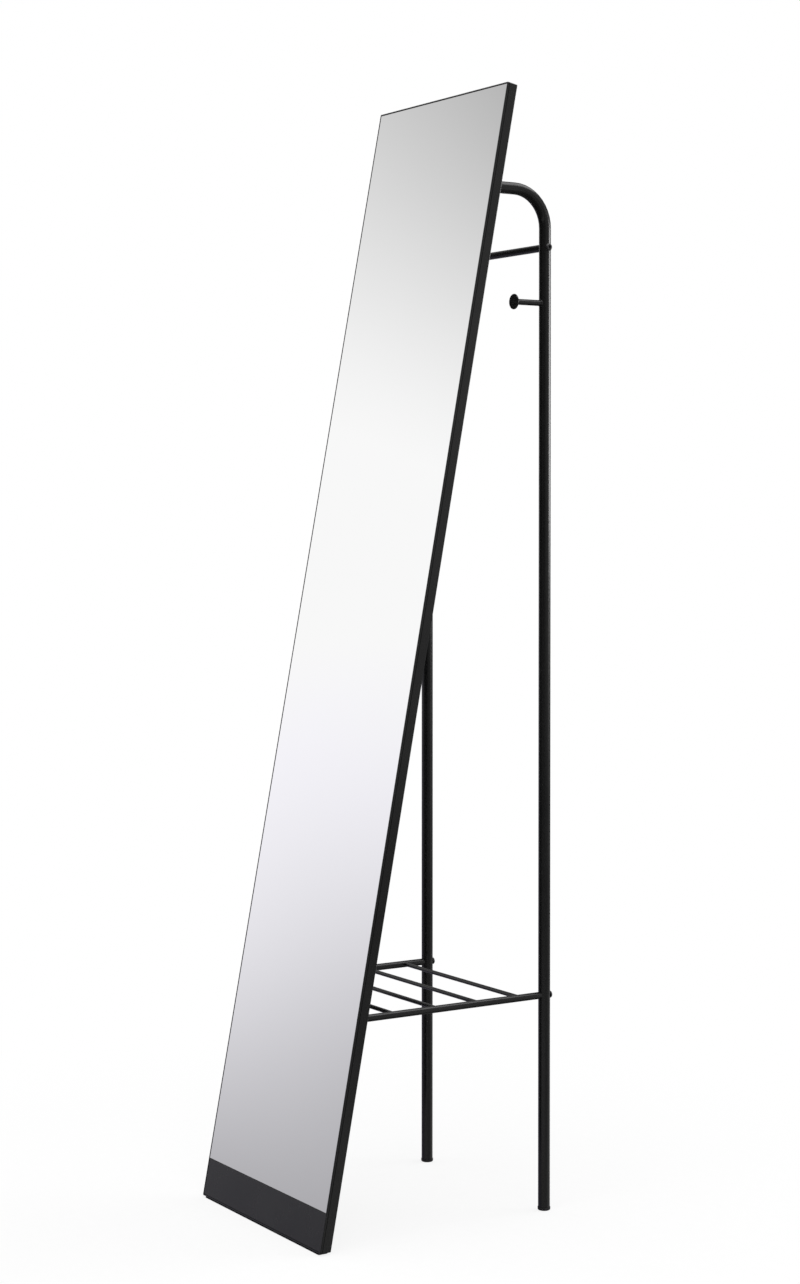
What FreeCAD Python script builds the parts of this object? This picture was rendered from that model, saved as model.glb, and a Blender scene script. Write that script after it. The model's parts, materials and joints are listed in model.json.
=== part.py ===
import FreeCAD, Part
import math
import os
import re

import Sketcher
from FreeCAD import Placement, Rotation, Vector

# A tall mirror that leans back on a stand of two bent tubes.
# The stand carries a clothes bar, two peg hooks and an open wire shelf.
# Frame of the part: +X to the right, +Y to the back, +Z up, the floor at zero.
# Panel pieces are drawn upright in the panel's own frame: x across, y into the panel, z up along it.
# Its origin lies where the panel's front plane meets the floor, and the pieces are then leaned back.

SIZES = {
    # Mirror panel
    "panel_width": 337.5,
    "panel_length": 1638.2,
    "lean_angle": 10.86,
    "frame_wall": 2,
    "flange_thickness": 1.6,
    "flange_margin": 12,
    "rail_flange_width": 24,
    "frame_corner_radius": 1.5,
    "frame_front_radius": 0.8,
    "frame_back_radius": 1,
    "groove_setback": 2.85,
    "groove_width": 0.8,
    "groove_depth": 0.8,
    "glass_recess": 0.4,
    "glass_thickness": 4,
    "glass_bevel": 0.5,
    "tape_thickness": 1,
    "tape_width": 20,
    "tape_spacing": 105,
    "tape_end_gap": 40,
    "board_thickness": 9.9,
    "panel_clearance": 0.25,
    "kick_height": 56.8,
    "kick_edge_radius": 0.3,
    "pad_thickness": 2.4,
    "pad_end_inset": 6,
    "pad_side_inset": 1.2,
    "pad_corner_radius": 2,
    # Wood screws
    "screw_diameter": 3.5,
    "screw_head_diameter": 6.5,
    "screw_head_height": 2.2,
    "screw_head_radius": 1.3,
    "screw_slot_length": 3.4,
    "screw_slot_width": 0.9,
    "screw_slot_depth": 1.2,
    "board_screw_bite": 5.5,
    "kick_screw_bite": 3.5,
    "stile_screw_end_gap": 60,
    "kick_screw_end_gap": 12,
    # Legs
    "leg_diameter": 17.2,
    "leg_wall": 1.2,
    "leg_inset": 15.25,
    "leg_below_top": 146.4,
    "top_run": 33.1,
    "bend_radius": 53,
    "spigot_length": 23,
    "spigot_chamfer": 1,
    "set_screw_diameter": 5,
    "set_screw_recess": 0.4,
    "set_screw_tip_gap": 0.6,
    "set_screw_reach": 12,
    "set_screw_socket": 2.5,
    "set_screw_socket_depth": 2.5,
    "glide_diameter": 18.4,
    "glide_height": 4.5,
    "glide_radius": 2,
    "glide_plug_length": 18,
    "glide_plug_chamfer": 1.5,
    # Clothes bar, pegs and their bolts
    "bar_diameter": 10.6,
    "bar_below_bend": 27.5,
    "bolt_diameter": 6,
    "bolt_head_diameter": 10.5,
    "bolt_head_height": 3.3,
    "bolt_head_radius": 2.4,
    "bolt_socket": 4,
    "bolt_socket_depth": 2,
    "bolt_bite": 14,
    "hook_below_bar": 79.5,
    "hook_reach": 54,
    "hook_stem_diameter": 8.5,
    "hook_flare": 1,
    "hook_tail_diameter": 5,
    "hook_tail_rise": 1.5,
    "hook_disc_diameter": 22,
    "hook_disc_thickness": 2.6,
    "hook_disc_radius": 1.1,
    # Shelf
    "shelf_height": 310,
    "rail_diameter": 10,
    "rail_pin_diameter": 6,
    "rail_pin_length": 7,
    "rod_diameter": 6,
    "rod_rear_gap": 41.3,
    "rod_front_gap": 54.1,
    # Fits
    "fit_clearance": 0.1,
    "thread_clearance": 0.05,
    "hole_clearance": 0.2,
    "overrun": 5,
}
STILE_SCREWS = 7
KICK_SCREWS = 4
SHELF_RODS = 4
SIDES = {"left": "-1", "right": "1"}

# Places and sizes that follow from the driving ones.
# In the panel, depths run back from its front plane and heights run up along it from the floor.
DERIVED = {
    "half_width": "panel_width / 2",
    "board_front": "glass_recess + glass_thickness + tape_thickness",
    "flange_front": "board_front + board_thickness",
    "panel_depth": "flange_front + flange_thickness",
    "flange_width": "leg_inset + leg_diameter / 2 + flange_margin",
    "inner_half_width": "half_width - frame_wall - panel_clearance",
    "inner_top": "panel_length - frame_wall - panel_clearance",
    "sole_front": "pad_thickness / cos(lean_angle)",
    "sole_middle": "sole_front + flange_front * tan(lean_angle)",
    "sole_back": "sole_front + panel_depth * tan(lean_angle)",
    "sill_front": "sole_front + frame_wall / cos(lean_angle)",
    "sill_back": "sole_middle + frame_wall / cos(lean_angle)",
    "sill_flange_top": "sole_back + rail_flange_width",
    "board_bottom": "sill_back + panel_clearance",
    "glass_bottom": "kick_height + panel_clearance",
    "screw_line": "half_width - flange_width + flange_margin / 2",
    "first_stile_screw": "board_bottom + stile_screw_end_gap",
    "last_stile_screw": "inner_top - stile_screw_end_gap",
    "top_screw_height": "panel_length - rail_flange_width / 2",
    "sill_screw_height": "sill_flange_top - rail_flange_width / 2",
    "rail_screw_x": "(half_width - flange_width) / 2",
    "kick_screw_x": "half_width - flange_width - kick_screw_end_gap",
    "kick_screw_height": "(sill_flange_top + kick_height) / 2",
    "screw_hole": "screw_diameter + 2 * hole_clearance",
    "screw_pilot": "screw_diameter + 2 * thread_clearance",
    "leg_bore": "leg_diameter - 2 * leg_wall",
    "leg_x": "half_width - leg_inset",
    "leg_seat": "panel_length - leg_below_top",
    "leg_top": "leg_seat * cos(lean_angle) - panel_depth * sin(lean_angle)",
    "leg_seat_setback": "panel_depth * cos(lean_angle) + leg_seat * sin(lean_angle)",
    "leg_reach": "bend_radius + top_run",
    "leg_setback": "leg_seat_setback + leg_reach",
    "set_screw_length": "leg_diameter / 2 - set_screw_recess - set_screw_tip_gap",
    "bend_start": "leg_top - bend_radius",
    "bar_height": "bend_start - bar_below_bend",
    "hook_height": "bar_height - hook_below_bar",
    "hook_disc_back": "hook_reach - hook_disc_thickness / 2",
    "bolt_length": "leg_diameter + bolt_bite",
    "bolt_hole": "bolt_diameter + 2 * hole_clearance",
    "bolt_thread": "bolt_diameter + 2 * thread_clearance",
    "bolt_thread_depth": "bolt_bite + hole_clearance",
    "rail_length": "leg_setback - panel_depth / cos(lean_angle) - shelf_height * tan(lean_angle)",
    "rail_seat": "(leg_setback - rail_length) * sin(lean_angle) + shelf_height * cos(lean_angle)",
    "rail_pin_hole": "rail_pin_diameter + 2 * hole_clearance",
    "sole_setback": "pad_thickness * tan(lean_angle)",
    "sole_depth": "panel_depth / cos(lean_angle)",
    "front_line": "-(sole_setback + leg_setback + leg_diameter / 2 + bolt_head_height) / 2",
    "leg_y": "front_line + leg_setback",
}

doc = FreeCAD.newDocument("floor_mirror")
sheet = doc.addObject("Spreadsheet::Sheet", "Sizes")
for row, (alias, size) in enumerate(SIZES.items(), start=1):
    sheet.set(f"A{row}", alias)
    sheet.set(f"B{row}", str(size))
    sheet.setAlias(f"B{row}", alias)
doc.recompute()


def formula(text):
    """The text with the sheet or the derived set put before each size that it names."""
    def qualified(match):
        word = match.group(0)
        if word in SIZES:
            return f"Sizes.{word}"
        return f"Derived.{word}" if word in DERIVED else word
    return re.sub(r"[a-z][a-z_]*", qualified, text)


def value(text):
    """The number that a formula gives now."""
    return float(sheet.evalExpression(formula(text)))


derived = doc.addObject("App::VarSet", "Derived")
for name, text in DERIVED.items():
    derived.addProperty("App::PropertyFloat", name)
    derived.setExpression(name, formula(text))
doc.recompute()

nodes = []
LEAN_AXIS = Vector(-1, 0, 0)


def add_body(label, hand_in=True):
    """A new body; one that is handed in becomes a sub-part under its label."""
    body = doc.addObject("PartDesign::Body", label)
    body.Label = label
    if hand_in:
        nodes.append(body)
    return body


def place(item, x="0", y="0", z="0", axis=LEAN_AXIS, angle="0"):
    """Bind an object's place, and its turn about an axis, to formulas."""
    item.Placement = Placement(Vector(value(x), value(y), value(z)), Rotation(axis, value(angle)))
    for letter, text in zip("xyz", (x, y, z)):
        item.setExpression(f"Placement.Base.{letter}", formula(text))
    item.setExpression("Placement.Rotation.Angle", formula(angle))


def lean(body):
    """Put a piece that was drawn in the panel's frame in its place in the leaning panel."""
    place(body, y="front_line", angle="lean_angle")


def group(label, members):
    """One sub-part of several equal pieces."""
    compound = doc.addObject("Part::Compound", label)
    compound.Label = label
    compound.Links = members
    nodes.append(compound)


def add_copy(source, **spot):
    """One more of a piece, in a place of its own."""
    copy = doc.addObject("App::Link", f"{source.Name}_copy")
    copy.LinkedObject = source
    place(copy, **spot)
    return copy


# Sketches

def add_sketch(body, plane, offset="0"):
    """A sketch on one of the body's own planes, moved along the plane's normal."""
    sketch = body.newObject("Sketcher::SketchObject", f"{body.Name}_sketch")
    support = next(item for item in body.Origin.OriginFeatures if item.Role == plane)
    sketch.AttachmentSupport = [(support, "")]
    sketch.MapMode = "FlatFace"
    sketch.setExpression("AttachmentOffset.Base.z", formula(offset))
    return sketch


def hold(sketch, kind, references, text):
    """A dimension of the sketch, bound to a formula."""
    index = sketch.addConstraint(Sketcher.Constraint(kind, *references, value(text)))
    sketch.setExpression(f"Constraints[{index}]", formula(text))


def hold_point(sketch, geometry, point, across, up):
    """Fix one point of a sketch by its distances from the sketch's origin."""
    for kind, axis, text in (("DistanceX", -2, across), ("DistanceY", -1, up)):
        if text == "0":
            sketch.addConstraint(Sketcher.Constraint("PointOnObject", geometry, point, axis))
        else:
            hold(sketch, kind, (-1, 1, geometry, point), text)


def at(across, up):
    return Vector(value(across), value(up), 0)


def add_circle(sketch, diameter, across="0", up="0"):
    outline = Part.Circle(at(across, up), Vector(0, 0, 1), value(diameter) / 2)
    circle = sketch.addGeometry(outline, False)
    hold_point(sketch, circle, 3, across, up)
    hold(sketch, "Diameter", (circle,), diameter)


def add_line(sketch, start, end):
    line = sketch.addGeometry(Part.LineSegment(at(*start), at(*end)), False)
    hold_point(sketch, line, 1, *start)
    return line


def join(sketch, first, second):
    """Let one line or arc end where the next one starts."""
    sketch.addConstraint(Sketcher.Constraint("Coincident", first, 2, second, 1))


def add_outline(sketch, points):
    """A closed outline of straight lines through points that are given as formulas."""
    lines = [add_line(sketch, start, end) for start, end in zip(points, points[1:] + points[:1])]
    for line, following in zip(lines, lines[1:] + lines[:1]):
        join(sketch, line, following)


def rectangle(left, right, low, high):
    return [(left, low), (right, low), (right, high), (left, high)]


def hexagon(across_flats):
    """Corners of a hexagon about the sketch's origin, with two flats upright."""
    half = f"{across_flats} / 2"
    corner = f"{across_flats} / sqrt(3)"
    return [
        ("0", corner), (f"-{half}", f"{corner} / 2"), (f"-{half}", f"-{corner} / 2"),
        ("0", f"-{corner}"), (half, f"-{corner} / 2"), (half, f"{corner} / 2"),
    ]


def cross(length, width):
    """Corners of an upright cross about the sketch's origin."""
    tip = f"{length} / 2"
    side = f"{width} / 2"
    return [
        (tip, side), (side, side), (side, tip), (f"-{side}", tip), (f"-{side}", side), (f"-{tip}", side),
        (f"-{tip}", f"-{side}"), (f"-{side}", f"-{side}"), (f"-{side}", f"-{tip}"),
        (side, f"-{tip}"), (side, f"-{side}"), (tip, f"-{side}"),
    ]


def panel_side(across, up, reach):
    """Corners of the space in front of the panel's back plane, about a point of that plane."""
    run = f"({reach}) * sin(lean_angle)"
    rise = f"({reach}) * cos(lean_angle)"
    return [
        (f"{across} - {run}", f"{up} - {rise}"), (f"{across} + {run}", f"{up} + {rise}"),
        (f"{across} + {run} - 2 * ({reach})", f"{up} + {rise}"),
        (f"{across} - {run} - 2 * ({reach})", f"{up} - {rise}"),
    ]


# Features

def add_feature(body, kind, sketch):
    feature = body.newObject(f"PartDesign::{kind}", f"{body.Name}_{kind.lower()}")
    feature.Profile = sketch
    body.Tip = feature
    return feature


def pad(body, sketch, length, side="One side", reverse=False):
    feature = add_feature(body, "Pad", sketch)
    feature.SideType = side
    feature.Reversed = reverse
    feature.setExpression("Length", formula(length))
    doc.recompute()


def cut(body, sketch, length=None, reverse=False):
    """A pocket of the given length, or right through both ways, that has to take material away."""
    before = body.Shape.Volume
    feature = add_feature(body, "Pocket", sketch)
    feature.Reversed = reverse
    if length:
        feature.setExpression("Length", formula(length))
    else:
        feature.SideType = "Symmetric"
        feature.Type = "ThroughAll"
    doc.recompute()
    if not body.Shape.Volume < before:
        raise RuntimeError(f"{feature.Name} cuts nothing")


def dress(body, kind, size_name, size, chosen):
    """A fillet or chamfer on the edges of the body that a test chooses."""
    base = body.Tip
    names = [f"Edge{number}" for number, edge in enumerate(base.Shape.Edges, start=1) if chosen(edge)]
    if not names:
        raise RuntimeError(f"{body.Name} has no such edge for its {kind}")
    feature = body.newObject(f"PartDesign::{kind}", f"{body.Name}_{kind.lower()}")
    feature.Base = (base, names)
    feature.setExpression(size_name, formula(size))
    body.Tip = feature
    doc.recompute()


def fillet(body, radius, chosen):
    dress(body, "Fillet", "Radius", radius, chosen)


def chamfer(body, size, chosen):
    dress(body, "Chamfer", "Size", size, chosen)


TOUCH = 1e-4


def lies_at(edge, **places):
    """Whether a whole edge lies at the given places along the given axes of its body."""
    box = edge.BoundBox
    return all(
        abs(getattr(box, f"{axis}{end}") - value(text)) < TOUCH
        for axis, text in places.items()
        for end in ("Min", "Max")
    )


def edges_at(**places):
    """A test that chooses the edges at the given places."""
    return lambda edge: lies_at(edge, **places)


# Mirror panel

def spread(first, last, count):
    """Formulas of places spread evenly from one place to another."""
    return [f"({first}) + (({last}) - ({first})) * {step} / {count - 1}" for step in range(count)]


def stile_screws(side):
    heights = spread("first_stile_screw", "last_stile_screw", STILE_SCREWS)
    return [(f"{side} * screw_line", height) for height in heights]


def rail_screws(height):
    return [(f"{side} * rail_screw_x", height) for side in SIDES.values()]


BOARD_SCREW_SPOTS = [
    *stile_screws(SIDES["left"]), *stile_screws(SIDES["right"]),
    *rail_screws("top_screw_height"), *rail_screws("sill_screw_height"),
]
KICK_SCREW_SPOTS = [
    (across, "kick_screw_height") for across in spread("-kick_screw_x", "kick_screw_x", KICK_SCREWS)
]


def drill(body, spots, diameter, front, depth):
    """Holes square to the panel, from one depth in it towards the back."""
    sketch = add_sketch(body, "XZ_Plane", f"-({front})")
    for across, up in spots:
        add_circle(sketch, diameter, across, up)
    cut(body, sketch, depth)


def drill_flange(body, spots):
    drill(body, spots, "screw_hole", "flange_front", "flange_thickness + overrun")


def drill_pins(body, spots):
    """Level holes for the pins of the shelf rails, which slant through the leaning panel."""
    sketch = add_sketch(body, "XZ_Plane", "-panel_depth")
    sketch.AttachmentOffset.Rotation = Rotation(Vector(1, 0, 0), value("lean_angle"))
    sketch.setExpression("AttachmentOffset.Rotation.Angle", formula("lean_angle"))
    sketch.setExpression("AttachmentOffset.Base.y", formula("rail_seat"))
    for across in spots:
        add_circle(sketch, "rail_pin_hole", across)
    cut(body, sketch)


def cut_level(body, front_height):
    """Cut a panel piece off level with the floor, from a height on the panel's front plane."""
    below = add_sketch(body, "YZ_Plane")
    add_outline(below, [
        ("-overrun", "-overrun"), ("panel_depth + overrun", "-overrun"),
        ("panel_depth + overrun", f"{front_height} + (panel_depth + overrun) * tan(lean_angle)"),
        ("-overrun", f"{front_height} - overrun * tan(lean_angle)"),
    ])
    cut(body, below)


def make_stile(label, side):
    """An upright angle profile with its wall outside and grooved, cut level at the foot."""
    body = add_body(label)
    outer = f"{side} * half_width"
    inner = f"{side} * (half_width - frame_wall)"
    lip = f"{side} * (half_width - flange_width)"
    profile = add_sketch(body, "XY_Plane")
    add_outline(profile, [
        (outer, "0"), (outer, "panel_depth"), (lip, "panel_depth"),
        (lip, "flange_front"), (inner, "flange_front"), (inner, "0"),
    ])
    pad(body, profile, "panel_length")
    cut_level(body, "sole_front")
    wall_face = edges_at(X=outer)
    fillet(body, "frame_corner_radius",
           lambda edge: wall_face(edge) and edge.BoundBox.ZLength < edge.BoundBox.YLength)
    fillet(body, "frame_front_radius", edges_at(X=outer, Y="0"))
    fillet(body, "frame_back_radius", edges_at(X=outer, Y="panel_depth"))
    groove = add_sketch(body, "XY_Plane")
    add_outline(groove, rectangle(
        f"{side} * (half_width - groove_depth)", f"{side} * (half_width + overrun)",
        "groove_setback", "groove_setback + groove_width"))
    cut(body, groove)
    drill_flange(body, stile_screws(side))
    drill_pins(body, [f"{side} * leg_x"])
    lean(body)


def make_cross_rail(label, wall, flange, front_edge, back_edge, screw_height):
    """A level angle profile between the stiles, with its wall outside."""
    body = add_body(label)
    for points, half_width in ((wall, "half_width - frame_wall"), (flange, "half_width - flange_width")):
        section = add_sketch(body, "YZ_Plane")
        add_outline(section, points)
        pad(body, section, f"2 * ({half_width})", "Symmetric")
    fillet(body, "frame_front_radius", edges_at(Y="0", Z=front_edge))
    fillet(body, "frame_back_radius", edges_at(Y="panel_depth", Z=back_edge))
    drill_flange(body, rail_screws(screw_height))
    lean(body)


def make_slab(label, half_width, low, high, front, back, centre="0", hand_in=True):
    """A flat board between two depths of the panel."""
    body = add_body(label, hand_in)
    sketch = add_sketch(body, "XZ_Plane", f"-({front})")
    add_outline(sketch, rectangle(f"{centre} - {half_width}", f"{centre} + {half_width}", low, high))
    pad(body, sketch, f"{back} - ({front})", reverse=True)
    lean(body)
    return body


for side_name, side in SIDES.items():
    make_stile(f"frame_{side_name}_stile", side)
make_cross_rail(
    "frame_top_rail",
    rectangle("0", "flange_front", "panel_length - frame_wall", "panel_length"),
    rectangle("flange_front", "panel_depth", "panel_length - rail_flange_width", "panel_length"),
    "panel_length", "panel_length", "top_screw_height")
make_cross_rail(
    "frame_bottom_rail",
    [("0", "sole_front"), ("flange_front", "sole_middle"),
     ("flange_front", "sill_back"), ("0", "sill_front")],
    [("flange_front", "sole_middle"), ("panel_depth", "sole_back"),
     ("panel_depth", "sill_flange_top"), ("flange_front", "sill_flange_top")],
    "sole_front", "sole_back", "sill_screw_height")

glass = make_slab("mirror_glass", "inner_half_width", "glass_bottom", "inner_top",
                  "glass_recess", "glass_recess + glass_thickness")
chamfer(glass, "glass_bevel", edges_at(Y="glass_recess"))

group("mirror_tapes", [
    make_slab(f"mirror_tape_{number}", "tape_width / 2",
              "glass_bottom + tape_end_gap", "inner_top - tape_end_gap",
              "board_front - tape_thickness", "board_front", f"{step} * tape_spacing", hand_in=False)
    for number, step in enumerate((-1, 0, 1), start=1)
])

board = make_slab("backing_board", "inner_half_width", "board_bottom", "inner_top",
                  "board_front", "flange_front")
drill(board, BOARD_SCREW_SPOTS, "screw_pilot", "flange_front - board_screw_bite - hole_clearance",
      "board_screw_bite + hole_clearance")
drill(board, KICK_SCREW_SPOTS, "screw_hole", "board_front", "board_thickness")
drill_pins(board, [f"{side} * leg_x" for side in SIDES.values()])

kick = make_slab("kick_panel", "inner_half_width", "sill_front", "kick_height",
                 "glass_recess", "board_front")
cut_level(kick, "sill_front + panel_clearance")
fillet(kick, "kick_edge_radius", edges_at(Y="glass_recess"))
drill(kick, KICK_SCREW_SPOTS, "screw_pilot", "board_front - kick_screw_bite - hole_clearance",
      "kick_screw_bite + hole_clearance")

sole = add_body("base_pad")
sole_outline = add_sketch(sole, "XY_Plane")
add_outline(sole_outline, rectangle(
    "-(half_width - pad_end_inset)", "half_width - pad_end_inset",
    "pad_side_inset", "sole_depth - pad_side_inset"))
pad(sole, sole_outline, "pad_thickness")
fillet(sole, "pad_corner_radius", lambda edge: edge.BoundBox.ZLength > TOUCH)
place(sole, y="front_line + sole_setback")


# Fasteners, drawn with the underside of the head at the origin and the head above it

def make_fastener(label, head, head_height, head_radius, shank, length, recess, recess_depth):
    body = add_body(label, hand_in=False)
    head_outline = add_sketch(body, "XY_Plane")
    add_circle(head_outline, head)
    pad(body, head_outline, head_height)
    fillet(body, head_radius, edges_at(Z=head_height))
    shank_outline = add_sketch(body, "XY_Plane")
    add_circle(shank_outline, shank)
    pad(body, shank_outline, length, reverse=True)
    recess_outline = add_sketch(body, "XY_Plane", head_height)
    add_outline(recess_outline, recess)
    cut(body, recess_outline, recess_depth)
    return body


def make_screw(label, length):
    """A round-headed wood screw with a cross recess."""
    return make_fastener(
        label, "screw_head_diameter", "screw_head_height", "screw_head_radius", "screw_diameter", length,
        cross("screw_slot_length", "screw_slot_width"), "screw_slot_depth")


def on_panel(across, depth, up):
    """The place of a point of the panel once it leans."""
    return {
        "x": across,
        "y": f"front_line + {depth} * cos(lean_angle) + ({up}) * sin(lean_angle)",
        "z": f"({up}) * cos(lean_angle) - {depth} * sin(lean_angle)",
    }


def drive_screws(label, screw, spots, depth):
    """Screws driven from behind, square to the panel, with their heads at one depth."""
    group(label, [
        add_copy(screw, **on_panel(across, depth, up), angle="90 + lean_angle") for across, up in spots
    ])


board_screw = make_screw("board_screw", "flange_thickness + board_screw_bite")
drive_screws("board_screws", board_screw, BOARD_SCREW_SPOTS, "panel_depth")
kick_screw = make_screw("kick_screw", "board_thickness + kick_screw_bite")
drive_screws("kick_screws", kick_screw, KICK_SCREW_SPOTS, "flange_front")

bolt = make_fastener(
    "stand_bolt", "bolt_head_diameter", "bolt_head_height", "bolt_head_radius", "bolt_diameter",
    "bolt_length", hexagon("bolt_socket"), "bolt_socket_depth")
group("hanging_bar_bolts", [
    add_copy(bolt, x=f"{side} * (leg_x + leg_diameter / 2)", y="leg_y", z="bar_height",
             axis=Vector(0, float(side), 0), angle="90")
    for side in SIDES.values()
])
group("shelf_bolts", [
    add_copy(bolt, x=f"{side} * leg_x", y="leg_y + leg_diameter / 2", z="shelf_height", angle="90")
    for side in SIDES.values()
])

set_screw = add_body("leg_set_screw", hand_in=False)
set_screw_outline = add_sketch(set_screw, "XY_Plane")
add_circle(set_screw_outline, "set_screw_diameter")
pad(set_screw, set_screw_outline, "set_screw_length")
set_screw_recess = add_sketch(set_screw, "XY_Plane")
add_outline(set_screw_recess, hexagon("set_screw_socket"))
cut(set_screw, set_screw_recess, "set_screw_socket_depth", reverse=True)
group("leg_set_screws", [
    add_copy(set_screw, x=f"{side} * leg_x", y="front_line + leg_seat_setback + set_screw_reach",
             z="leg_top - leg_diameter / 2 + set_screw_recess")
    for side in SIDES.values()
])


# Stand, with each leg's pieces drawn about the leg's axis

def cope(body, plane, diameter, spots=("0",)):
    """Round hollows that seat a piece against its neighbours, whose axes cross the plane."""
    sketch = add_sketch(body, plane)
    for across in spots:
        add_circle(sketch, diameter, across)
    cut(body, sketch)


def make_leg(label, side):
    """A tube from the foot up, bent forward, with its end cut along the panel's back."""
    body = add_body(label)
    ring = add_sketch(body, "XY_Plane", "glide_height")
    add_circle(ring, "leg_diameter")
    add_circle(ring, "leg_bore")
    path = add_sketch(body, "YZ_Plane")
    bend_end = ("-bend_radius", "leg_top")
    run_end = ("-leg_reach - overrun", "leg_top")
    upright = add_line(path, ("0", "glide_height"), ("0", "bend_start"))
    bend_circle = Part.Circle(at("-bend_radius", "bend_start"), Vector(0, 0, 1), value("bend_radius"))
    bend = path.addGeometry(Part.ArcOfCircle(bend_circle, 0, math.pi / 2), False)
    run = add_line(path, bend_end, run_end)
    hold_point(path, upright, 2, "0", "bend_start")
    hold_point(path, run, 2, *run_end)
    join(path, upright, bend)
    join(path, bend, run)
    hold(path, "Radius", (bend,), "bend_radius")
    tube = add_feature(body, "AdditivePipe", ring)
    tube.Spine = path
    doc.recompute()
    tube_end = add_sketch(body, "YZ_Plane")
    add_outline(tube_end, panel_side("-leg_reach", "leg_top", "leg_diameter / 2 + overrun"))
    cut(body, tube_end)
    bar_hole = add_sketch(body, "YZ_Plane")
    add_circle(bar_hole, "bolt_hole", up="bar_height")
    cut(body, bar_hole)
    rail_hole = add_sketch(body, "XZ_Plane")
    add_circle(rail_hole, "bolt_hole", up="shelf_height")
    cut(body, rail_hole)
    hook_hole = add_sketch(body, "XZ_Plane")
    add_circle(hook_hole, "hook_tail_diameter + 2 * fit_clearance", up="hook_height")
    cut(body, hook_hole, "leg_diameter", reverse=True)
    set_screw_hole = add_sketch(body, "XY_Plane", "leg_top")
    add_circle(set_screw_hole, "set_screw_diameter + 2 * hole_clearance", up="set_screw_reach - leg_reach")
    cut(body, set_screw_hole, "leg_diameter")
    place(body, x=f"{side} * leg_x", y="leg_y")


def make_spigot(label, side):
    """A plug on the panel's back that fills the end of a leg."""
    body = add_body(label)
    profile = add_sketch(body, "XZ_Plane", "overrun")
    add_circle(profile, "leg_bore - 2 * fit_clearance")
    pad(body, profile, "spigot_length + overrun", reverse=True)
    seat = add_sketch(body, "YZ_Plane")
    add_outline(seat, panel_side("0", "0", "leg_diameter / 2 + overrun"))
    cut(body, seat)
    chamfer(body, "spigot_chamfer", edges_at(Y="spigot_length"))
    set_screw_hole = add_sketch(body, "XY_Plane")
    add_circle(set_screw_hole, "set_screw_diameter + 2 * thread_clearance", up="set_screw_reach")
    cut(body, set_screw_hole, "leg_diameter")
    place(body, x=f"{side} * leg_x", y="front_line + leg_seat_setback", z="leg_top")


def make_glide(label, side):
    """A foot with a rounded edge and a plug up into the leg."""
    body = add_body(label)
    foot = add_sketch(body, "XY_Plane")
    add_circle(foot, "glide_diameter")
    pad(body, foot, "glide_height")
    fillet(body, "glide_radius", edges_at(Z="0"))
    plug = add_sketch(body, "XY_Plane", "glide_height")
    add_circle(plug, "leg_bore - 2 * fit_clearance")
    pad(body, plug, "glide_plug_length")
    chamfer(body, "glide_plug_chamfer", edges_at(Z="glide_height + glide_plug_length"))
    place(body, x=f"{side} * leg_x", y="leg_y")


def make_hook_peg(label, side):
    """A stem that flares at both ends, with a tail riveted through the leg's front wall."""
    body = add_body(label)
    stem = "hook_stem_diameter / 2"
    flare = "hook_stem_diameter / 2 + hook_flare"
    section = add_sketch(body, "XY_Plane")
    add_outline(section, [
        ("0", "0"), (flare, "0"), (flare, "-leg_diameter / 2"),
        (stem, "-leg_diameter / 2 - hook_flare"), (stem, "hook_flare - hook_disc_back"),
        (flare, "-hook_disc_back"), ("0", "-hook_disc_back"),
    ])
    turned = add_feature(body, "Revolution", section)
    turned.ReferenceAxis = (section, ["V_Axis"])
    doc.recompute()
    cope(body, "XY_Plane", "leg_diameter")
    tail = add_sketch(body, "XZ_Plane", "leg_bore / 2 - hook_tail_rise")
    add_circle(tail, "hook_tail_diameter")
    pad(body, tail, "hook_tail_rise + leg_wall + hook_flare")
    place(body, x=f"{side} * leg_x", y="leg_y", z="hook_height")


def make_hook_disc(label, side):
    body = add_body(label)
    outline = add_sketch(body, "XZ_Plane", "hook_disc_back")
    add_circle(outline, "hook_disc_diameter")
    pad(body, outline, "hook_disc_thickness")
    rims = (edges_at(Y="-hook_disc_back"), edges_at(Y="-hook_disc_back - hook_disc_thickness"))
    fillet(body, "hook_disc_radius", lambda edge: any(rim(edge) for rim in rims))
    place(body, x=f"{side} * leg_x", y="leg_y", z="hook_height")


def make_shelf_rail(label, side):
    """A rod from the leg to the panel's back, seated on both, with a pin into the panel."""
    body = add_body(label)
    outline = add_sketch(body, "XZ_Plane")
    add_circle(outline, "rail_diameter")
    pad(body, outline, "rail_length + overrun")
    seat = add_sketch(body, "YZ_Plane")
    add_outline(seat, panel_side("-rail_length", "0", "rail_diameter / 2 + overrun"))
    cut(body, seat)
    cope(body, "XY_Plane", "leg_diameter")
    pin = add_sketch(body, "XZ_Plane", "rail_length - overrun")
    add_circle(pin, "rail_pin_diameter")
    pad(body, pin, "overrun + rail_pin_length")
    thread = add_sketch(body, "XZ_Plane")
    add_circle(thread, "bolt_thread")
    cut(body, thread, "leg_diameter / 2 + bolt_thread_depth", reverse=True)
    place(body, x=f"{side} * leg_x", y="leg_y", z="shelf_height")


def make_cross_bar(label, diameter, neighbour_plane, neighbour_diameter, y, z):
    """A rod between the two sides of the stand, its ends hollowed to fit what they meet."""
    body = add_body(label)
    outline = add_sketch(body, "YZ_Plane")
    add_circle(outline, diameter)
    pad(body, outline, "2 * leg_x", "Symmetric")
    cope(body, neighbour_plane, neighbour_diameter, [f"{side} * leg_x" for side in SIDES.values()])
    place(body, y=y, z=z)
    return body


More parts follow.
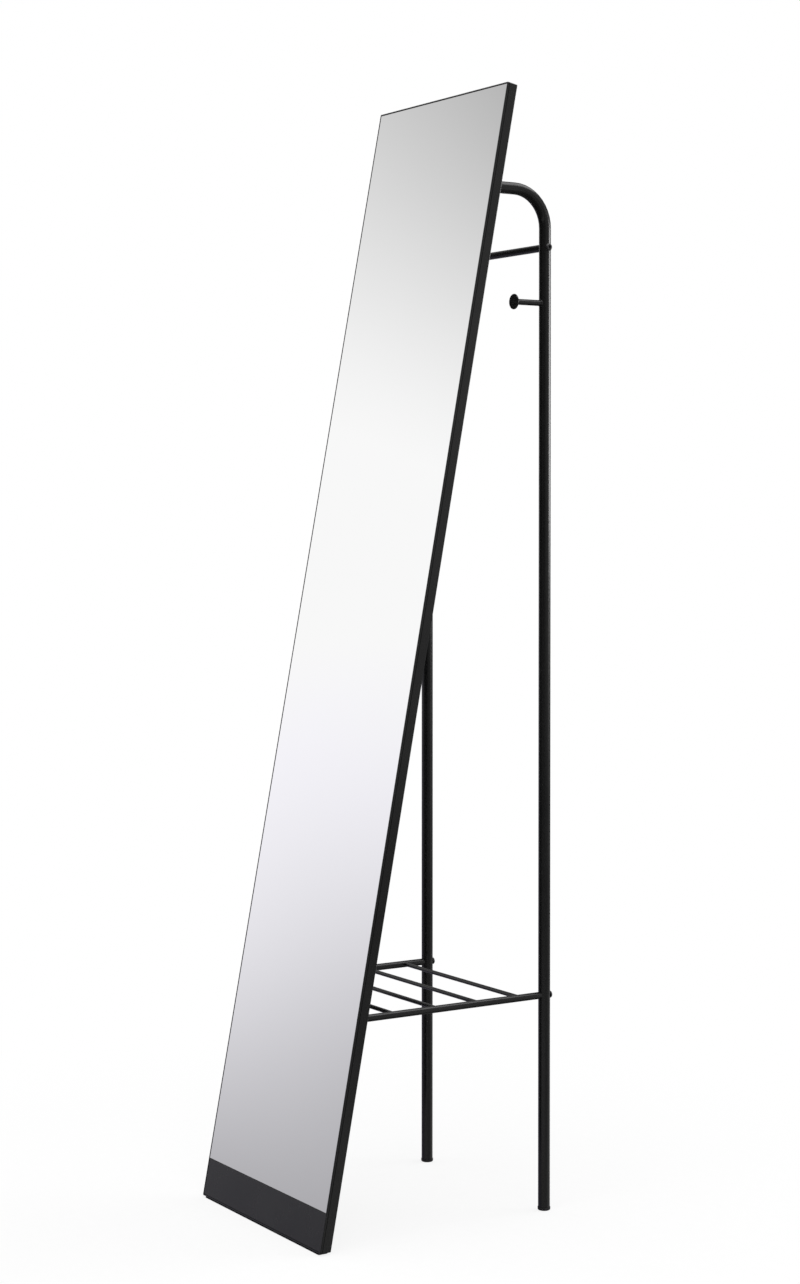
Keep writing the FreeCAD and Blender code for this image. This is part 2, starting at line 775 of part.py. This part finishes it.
for side_name, side in SIDES.items():
    make_leg(f"leg_{side_name}", side)
    make_spigot(f"leg_spigot_{side_name}", side)
    make_glide(f"foot_glide_{side_name}", side)
    make_hook_peg(f"hook_peg_{side_name}", side)
    make_hook_disc(f"hook_disc_{side_name}", side)
    make_shelf_rail(f"shelf_rail_{side_name}", side)

bar = make_cross_bar("hanging_bar", "bar_diameter", "XY_Plane", "leg_diameter", "leg_y", "bar_height")
for side_name, side in SIDES.items():
    bar_thread = add_sketch(bar, "YZ_Plane", f"{side} * (leg_x - leg_diameter / 2 - bolt_thread_depth)")
    add_circle(bar_thread, "bolt_thread")
    cut(bar, bar_thread, "bolt_thread_depth + leg_diameter", reverse=side_name == "right")

rod_places = spread("leg_y - rod_rear_gap", "leg_y - rail_length + rod_front_gap", SHELF_RODS)
for number, rod_y in enumerate(rod_places, start=1):
    make_cross_bar(f"shelf_rod_{number}", "rod_diameter", "XZ_Plane", "rail_diameter",
                   rod_y, "shelf_height")

doc.recompute()
for item in doc.Objects:
    if {"Invalid", "Error"} & set(item.State):
        raise RuntimeError(f"{item.Label} failed")
for node in nodes:
    if node.Shape.isNull() or not node.Shape.isValid():
        raise RuntimeError(f"{node.Label} has no valid shape")

os.makedirs("parts", exist_ok=True)
for node in nodes:
    node.Shape.exportStep(f"parts/{node.Label}.step")
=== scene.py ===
import json
import math

import bmesh
import bpy
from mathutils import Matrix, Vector

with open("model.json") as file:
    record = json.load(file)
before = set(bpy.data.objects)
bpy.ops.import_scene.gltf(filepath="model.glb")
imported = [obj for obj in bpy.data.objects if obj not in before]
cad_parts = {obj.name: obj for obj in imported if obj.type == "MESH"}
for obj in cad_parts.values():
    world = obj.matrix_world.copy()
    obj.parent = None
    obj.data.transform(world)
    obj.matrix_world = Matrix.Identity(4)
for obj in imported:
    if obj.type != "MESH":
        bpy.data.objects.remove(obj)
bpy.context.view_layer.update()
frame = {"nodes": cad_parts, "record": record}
scene = bpy.context.scene
scene.view_settings.view_transform = "Standard"


# Camera, at the photograph's viewpoint

IMAGE_WIDTH = 800
IMAGE_HEIGHT = 1284
FOCAL_PIXELS = 2400.6
CENTRE_PIXEL = (399.95, 554.96)
SENSOR = 36.0
CAMERA_PLACE = (2.9404, -1.8387, 1.0011)
CAMERA_DIP = 0.983
CAMERA_TURN = 57.454


def add_camera():
    data = bpy.data.cameras.new("camera")
    data.sensor_width = SENSOR
    data.lens = FOCAL_PIXELS * SENSOR / IMAGE_HEIGHT
    data.shift_x = (IMAGE_WIDTH / 2 - CENTRE_PIXEL[0]) / IMAGE_HEIGHT
    data.shift_y = (CENTRE_PIXEL[1] - IMAGE_HEIGHT / 2) / IMAGE_HEIGHT
    camera = bpy.data.objects.new("camera", data)
    camera.location = CAMERA_PLACE
    camera.rotation_euler = (math.radians(90 - CAMERA_DIP), 0, math.radians(CAMERA_TURN))
    scene.collection.objects.link(camera)
    scene.camera = camera


add_camera()


# Node trees

NOISE_RANGE = (0.3, 0.7)


class Nodes:
    """A short way to write a node tree: add a node, then link it by its sockets' names."""

    def __init__(self, owner):
        owner.use_nodes = True
        self.tree = owner.node_tree
        self.tree.nodes.clear()

    def add(self, kind, settings=(), **inputs):
        """A new node; an underscore in an input's name stands for a space."""
        node = self.tree.nodes.new(f"ShaderNode{kind}")
        for name, setting in dict(settings).items():
            setattr(node, name, setting)
        for name, source in inputs.items():
            self.put(node, name.replace("_", " "), source)
        return node

    def put(self, node, name, source):
        """Link another node's socket to an input, or set the input to a constant. Digits give its number."""
        socket = node.inputs[int(name)] if name.isdigit() else node.inputs[name]
        if isinstance(source, bpy.types.NodeSocket):
            self.tree.links.new(source, socket)
        else:
            socket.default_value = source

    def pair(self, kind, settings, first, second):
        """A node whose first two inputs count."""
        node = self.add(kind, settings)
        self.put(node, "0", first)
        self.put(node, "1", second)
        return node.outputs["Value"]

    def math(self, operation, first, second):
        return self.pair("Math", {"operation": operation}, first, second)

    def dot(self, first, second):
        return self.pair("VectorMath", {"operation": "DOT_PRODUCT"}, first, second)

    def noise(self, place, scale, detail=3.0, roughness=0.5):
        node = self.add("TexNoise", Vector=place, Scale=scale, Detail=detail, Roughness=roughness)
        return node.outputs["Fac"]

    def ramp(self, factor, stops):
        """A colour ramp through (place, colour) stops."""
        node = self.add("ValToRGB", Fac=factor)
        elements = node.color_ramp.elements
        while len(elements) < len(stops):
            elements.new(1.0)
        for element, (place, colour) in zip(elements, stops):
            element.position = place
            element.color = colour
        return node.outputs["Color"]

    def spread(self, factor, low, high, start=0.0, end=1.0, kind="SMOOTHSTEP"):
        """A number carried from the range (start, end) to the range (low, high), and held at its ends."""
        node = self.add("MapRange", {"interpolation_type": kind}, Value=factor, From_Min=start, From_Max=end,
                        To_Min=low, To_Max=high)
        return node.outputs["Result"]

    def vary(self, noise, low, high):
        """A noise carried to the range low to high."""
        return self.spread(noise, low, high, *NOISE_RANGE)

    def blend(self, share, first, second, kind="MIX"):
        node = self.add("MixRGB", {"blend_type": kind}, Fac=share, Color1=first, Color2=second)
        return node.outputs["Color"]

    def mix(self, share, first, second):
        """A blend of two shaders."""
        node = self.add("MixShader", Fac=share)
        self.put(node, "1", first)
        self.put(node, "2", second)
        return node.outputs["Shader"]

    def background(self, colour, strength=1.0):
        return self.add("Background", Color=colour, Strength=strength).outputs["Background"]

    def bump(self, height, distance):
        return self.add("Bump", Height=height, Distance=distance, Strength=1.0).outputs["Normal"]


def grey(level):
    return (level, level, level, 1.0)


# Materials

COAT_DARK = grey(0.0045)
COAT_PALE = grey(0.0085)
PEEL_DEPTH = 0.000012


def new_surface(name):
    """A material with its nodes, and the object's own place in metres as a texture place."""
    material = bpy.data.materials.new(name)
    nodes = Nodes(material)
    place = nodes.add("TexCoord").outputs["Object"]
    return material, nodes, place


def close_surface(nodes, **inputs):
    shader = nodes.add("BsdfPrincipled", **inputs)
    nodes.add("OutputMaterial", Surface=shader.outputs["BSDF"])


def make_coat(name, smooth, rough, grain):
    """Powder coat: a fine peel, with slow changes of tone and gloss."""
    material, nodes, place = new_surface(name)
    cloud = nodes.noise(place, scale=9.0, detail=4.0)
    peel = nodes.noise(place, scale=grain, detail=2.0, roughness=0.6)
    speck = nodes.noise(place, scale=grain * 2.2, detail=1.0)
    tone = nodes.math("ADD", nodes.math("MULTIPLY", cloud, 0.6), nodes.math("MULTIPLY", speck, 0.4))
    colour = nodes.ramp(tone, [(0.35, COAT_DARK), (0.65, COAT_PALE)])
    close_surface(
        nodes, Base_Color=colour, Roughness=nodes.vary(cloud, smooth, rough), Specular_IOR_Level=0.5,
        Normal=nodes.bump(peel, PEEL_DEPTH))
    return material


def make_mirror(name):
    """Silvered glass, barely uneven in tone. Its roughness of 0 makes its rays singular, for the world."""
    material, nodes, place = new_surface(name)
    film = nodes.noise(place, scale=3.0, detail=5.0)
    colour = nodes.ramp(film, [(0.3, grey(0.960)), (0.7, grey(0.969))])
    close_surface(nodes, Base_Color=colour, Metallic=1.0, Roughness=0.0)
    return material


def make_bolt_black(name):
    """Black oxide: rougher than the coat, with faint turning marks."""
    material, nodes, place = new_surface(name)
    cloud = nodes.noise(place, scale=140.0, detail=4.0)
    scratch = nodes.noise(place, scale=2600.0, detail=2.0)
    colour = nodes.ramp(cloud, [(0.35, (0.010, 0.010, 0.011, 1.0)), (0.7, (0.024, 0.024, 0.026, 1.0))])
    close_surface(
        nodes, Base_Color=colour, Roughness=nodes.vary(cloud, 0.26, 0.42), Specular_IOR_Level=0.5,
        Normal=nodes.bump(scratch, 0.00002))
    return material


def make_board(name):
    """Fibreboard faced with black melamine: a pressed grain with scattered lighter fibres."""
    material, nodes, place = new_surface(name)
    upright = nodes.add("Mapping", Vector=place, Scale=(1.0, 1.0, 0.12)).outputs["Vector"]
    fibre = nodes.noise(upright, scale=1400.0, detail=4.0, roughness=0.65)
    cloud = nodes.noise(place, scale=14.0)
    tone = nodes.math("ADD", nodes.math("MULTIPLY", fibre, 0.7), nodes.math("MULTIPLY", cloud, 0.3))
    colour = nodes.ramp(tone, [(0.36, grey(0.034)), (0.55, grey(0.055)), (0.70, grey(0.090))])
    close_surface(
        nodes, Base_Color=colour, Roughness=nodes.vary(fibre, 0.52, 0.70), Specular_IOR_Level=0.35,
        Normal=nodes.bump(fibre, 0.00006))
    return material


def make_rubber(name):
    """Anti-slip strip: fine ribs across it and a dusty bloom."""
    material, nodes, place = new_surface(name)
    ribs = nodes.add("TexWave", {"wave_type": "BANDS", "bands_direction": "X", "wave_profile": "SIN"},
                     Vector=place, Scale=110.0, Distortion=0.2).outputs["Fac"]
    dust = nodes.noise(place, scale=420.0, detail=4.0)
    colour = nodes.ramp(dust, [(0.35, grey(0.0025)), (0.7, grey(0.008))])
    close_surface(
        nodes, Base_Color=colour, Roughness=nodes.vary(dust, 0.78, 0.92), Specular_IOR_Level=0.15,
        Normal=nodes.bump(ribs, 0.0003))
    return material


def make_plastic(name):
    """Moulded glide: a spark-eroded grain with scuffs."""
    material, nodes, place = new_surface(name)
    scuff = nodes.noise(place, scale=260.0, detail=5.0, roughness=0.6)
    spark = nodes.noise(place, scale=1900.0, detail=2.0)
    colour = nodes.ramp(scuff, [(0.4, (0.011, 0.011, 0.012, 1.0)), (0.72, (0.030, 0.030, 0.031, 1.0))])
    close_surface(
        nodes, Base_Color=colour, Roughness=nodes.vary(scuff, 0.46, 0.66), Specular_IOR_Level=0.4,
        Normal=nodes.bump(spark, 0.00005))
    return material


def make_tape(name):
    """White foam with open cells."""
    material, nodes, place = new_surface(name)
    cells = nodes.add("TexVoronoi", Vector=place, Scale=900.0).outputs["Distance"]
    colour = nodes.ramp(cells, [(0.0, (0.55, 0.54, 0.51, 1.0)), (0.6, (0.82, 0.81, 0.78, 1.0))])
    close_surface(
        nodes, Base_Color=colour, Roughness=nodes.spread(cells, 0.8, 0.95), Normal=nodes.bump(cells, 0.0002))
    return material


looks = {
    "black_metal": make_coat("black_metal", smooth=0.20, rough=0.26, grain=900.0),
    "kick_plate": make_coat("kick_plate", smooth=0.24, rough=0.30, grain=1300.0),
    "black_bolts": make_bolt_black("black_bolts"),
    "silvered_glass": make_mirror("silvered_glass"),
    "board": make_board("board"),
    "tape": make_tape("tape"),
    "pad": make_rubber("pad"),
    "glide": make_plastic("glide"),
}
for subpart in frame["record"]["subparts"]:
    node = frame["nodes"][subpart["node"]]
    node.data.materials.clear()
    node.data.materials.append(looks[subpart["material_slot"]])


# Studio. A way is a direction out of the object, and its height is the sine of its elevation

FRONT_WAY = (-0.853, -0.522, 0.0)
ACROSS_WAY = (-FRONT_WAY[1], FRONT_WAY[0], 0.0)
ACROSS_REACH = 0.09
BRIGHTEST = grey(0.972)
FILL_STRENGTH = 0.42

# What the coat's gloss sees, in bands from the floor up: degrees of elevation, level, how much bluer
FRONT_BANDS = [
    (-90, 90), (-30, 110, 12), (-7, 140, 12), (4, 240), (14, 240), (30, 150), (90, 140)]
SIDE_BANDS = [
    (-90, 80), (-45, 92), (-20, 95), (-16.8, 150), (-15.2, 245), (-12.8, 245), (-11, 120), (-9, 84),
    (-5, 76), (0, 84), (20, 97), (45, 137), (90, 170)]
BACK_BANDS = [
    (-90, 80), (-45, 100), (-22, 175), (-16, 178), (-12, 120), (-8, 100), (-5, 150), (-2, 182), (2, 178),
    (8, 160), (20, 149), (45, 159), (90, 170)]
BACK_FULL, BACK_NONE = -0.9, -0.35
FRONT_NONE, FRONT_FULL = 0.25, 0.75
LEFT_GAIN, RIGHT_GAIN = 1.216, 0.784

# What the mirror sees: a glow at one height, which falls to the same light at a lower and a higher one
GLOW_LIGHT = 0.989
GLOW_FALL = 0.62
GLOW_LOW, GLOW_HEIGHT, GLOW_HIGH = -0.0995, 0.199, 0.419
LOWER_SLOPE, UPPER_SLOPE = 1.03, 0.284
SLOPE_NONE, SLOPE_FULL = -0.109, 0.0385
SLOPE_NEAR, SLOPE_FAR = 0.10, 0.35
FLOOR_LIGHT = 0.8
FLOOR_HEIGHT = -0.5
COOL_TINT = (1.0, 0.989, 1.041, 1.0)
COOL_FULL, COOL_NONE = 0.08, 0.16


def light(level):
    """The light that a level of 0 to 255 in a picture stands for."""
    share = level / 255
    return share / 12.92 if share <= 0.04045 else ((share + 0.055) / 1.055) ** 2.4


def band_colour(level, cool=0):
    return (light(level), light(level - cool / 4), light(level + cool), 1.0)


def bands(nodes, height, stops):
    rise = nodes.spread(height, 0.0, 1.0, -1.0, 1.0, "LINEAR")
    return nodes.ramp(rise, [
        ((math.sin(math.radians(elevation)) + 1) / 2, band_colour(*tone)) for elevation, *tone in stops])


def make_room(nodes, way, height, across):
    """The room in the coat's gloss: bands in front, at the sides and behind, all brighter on the left."""
    front = nodes.dot(way, FRONT_WAY)
    behind = nodes.spread(front, 1.0, 0.0, BACK_FULL, BACK_NONE)
    room = nodes.blend(behind, bands(nodes, height, SIDE_BANDS), bands(nodes, height, BACK_BANDS))
    before = nodes.spread(front, 0.0, 1.0, FRONT_NONE, FRONT_FULL)
    room = nodes.blend(before, room, bands(nodes, height, FRONT_BANDS))
    gain = nodes.spread(across, LEFT_GAIN, RIGHT_GAIN, -ACROSS_REACH, ACROSS_REACH, "LINEAR")
    return nodes.blend(1.0, nodes.blend(1.0, room, gain, "MULTIPLY"), BRIGHTEST, "DARKEN")


def make_walls(nodes, height, across):
    """The walls in the mirror: a soft glow, dimmer above, below and to the right, over a pale floor."""
    near = nodes.spread(nodes.math("ABSOLUTE", across, 0.0), 1.0, 0.0, SLOPE_NEAR, SLOPE_FAR)
    aside = nodes.spread(across, -1.0, 1.0, -ACROSS_REACH, ACROSS_REACH, "LINEAR")
    aside = nodes.math("MULTIPLY", near, aside)
    lower = nodes.math("MULTIPLY", aside, nodes.spread(height, 0.0, LOWER_SLOPE, SLOPE_NONE, SLOPE_FULL))
    upper = nodes.math("MULTIPLY", aside, UPPER_SLOPE)
    below = nodes.spread(height, 1.0, 0.0, GLOW_LOW, GLOW_HEIGHT, "LINEAR")
    below = nodes.math("MULTIPLY", nodes.math("POWER", below, 2.0), nodes.math("ADD", lower, 1.0))
    above = nodes.spread(height, 0.0, 1.0, GLOW_HEIGHT, GLOW_HIGH)
    above = nodes.math("MULTIPLY", above, nodes.math("ADD", upper, 1.0))
    fall = nodes.math("MULTIPLY", nodes.math("ADD", below, above), GLOW_FALL)
    floor = nodes.spread(height, FLOOR_LIGHT, GLOW_LIGHT - GLOW_FALL, FLOOR_HEIGHT, GLOW_LOW)
    wall = nodes.math("MAXIMUM", nodes.math("SUBTRACT", GLOW_LIGHT, fall), floor)
    tint = nodes.blend(nodes.spread(height, 1.0, 0.0, COOL_FULL, COOL_NONE), grey(1.0), COOL_TINT)
    return nodes.blend(1.0, nodes.blend(1.0, wall, tint, "MULTIPLY"), BRIGHTEST, "DARKEN")


def make_world():
    """White to the camera, even light on matt faces, the walls in the mirror and the room in other gloss."""
    world = bpy.data.worlds.new("studio")
    nodes = Nodes(world)
    path = nodes.add("LightPath").outputs
    way = nodes.add("TexCoord").outputs["Generated"]
    height = nodes.add("SeparateXYZ", Vector=way).outputs["Z"]
    across = nodes.dot(way, ACROSS_WAY)
    white = nodes.background(grey(1.0))
    fill = nodes.background(grey(1.0), FILL_STRENGTH)
    room = nodes.background(make_room(nodes, way, height, across))
    walls = nodes.background(make_walls(nodes, height, across))
    gloss = nodes.mix(path["Is Singular Ray"], room, walls)
    clear = nodes.math("MAXIMUM", path["Is Camera Ray"], path["Is Transmission Ray"])
    seen = nodes.mix(clear, nodes.mix(path["Is Glossy Ray"], fill, gloss), white)
    nodes.add("OutputWorld", Surface=seen)
    scene.world = world


make_world()


# Lamps

def add_softbox(name, place, target, width, height, power):
    data = bpy.data.lights.new(name, "AREA")
    data.shape = "RECTANGLE"
    data.size = width
    data.size_y = height
    data.energy = power
    lamp = bpy.data.objects.new(name, data)
    lamp.location = place
    lamp.rotation_euler = (Vector(target) - Vector(place)).to_track_quat("-Z", "Y").to_euler()
    scene.collection.objects.link(lamp)


add_softbox("overhead", place=(0.3, -0.3, 3.3), target=(0.0, 0.0, 0.6), width=2.0, height=2.0, power=60.0)
add_softbox("back", place=(0.67, 2.55, 4.05), target=(0.1, 0.1, 1.2), width=3.0, height=1.6, power=33.0)
add_softbox("rim", place=(1.385, 3.57, 1.42), target=(0.1535, 0.186, 1.3), width=2.34, height=1.0, power=51.7)


# Floor

FLOOR_RADIUS = 2.4
FLOOR_GAP = 0.0003
FADE_START, FADE_END = 0.3, 1.2
WHITE_LEAST = 0.84


def add_floor():
    """A pale disc that fades into the white around it and keeps the object's shadow."""
    mesh = bpy.data.meshes.new("floor")
    shape = bmesh.new()
    bmesh.ops.create_circle(shape, cap_ends=True, segments=128, radius=FLOOR_RADIUS)
    shape.to_mesh(mesh)
    shape.free()
    floor = bpy.data.objects.new("floor", mesh)
    floor.location.z = -FLOOR_GAP
    floor.visible_glossy = False
    scene.collection.objects.link(floor)
    material, nodes, place = new_surface("floor")
    reach = nodes.add("VectorMath", {"operation": "LENGTH"})
    nodes.put(reach, "0", place)
    share = nodes.spread(reach.outputs["Value"], WHITE_LEAST, 1.0, FADE_START, FADE_END)
    speckle = nodes.noise(place, scale=60.0, detail=4.0)
    colour = nodes.ramp(speckle, [(0.3, grey(0.90)), (0.7, grey(0.94))])
    matt = nodes.add("BsdfDiffuse", Color=colour).outputs["BSDF"]
    glow = nodes.add("Emission", Color=grey(1.0), Strength=1.0).outputs["Emission"]
    path = nodes.add("LightPath").outputs
    seen = nodes.mix(nodes.math("MULTIPLY", share, path["Is Camera Ray"]), matt, glow)
    nodes.add("OutputMaterial", Surface=seen)
    mesh.materials.append(material)


add_floor()
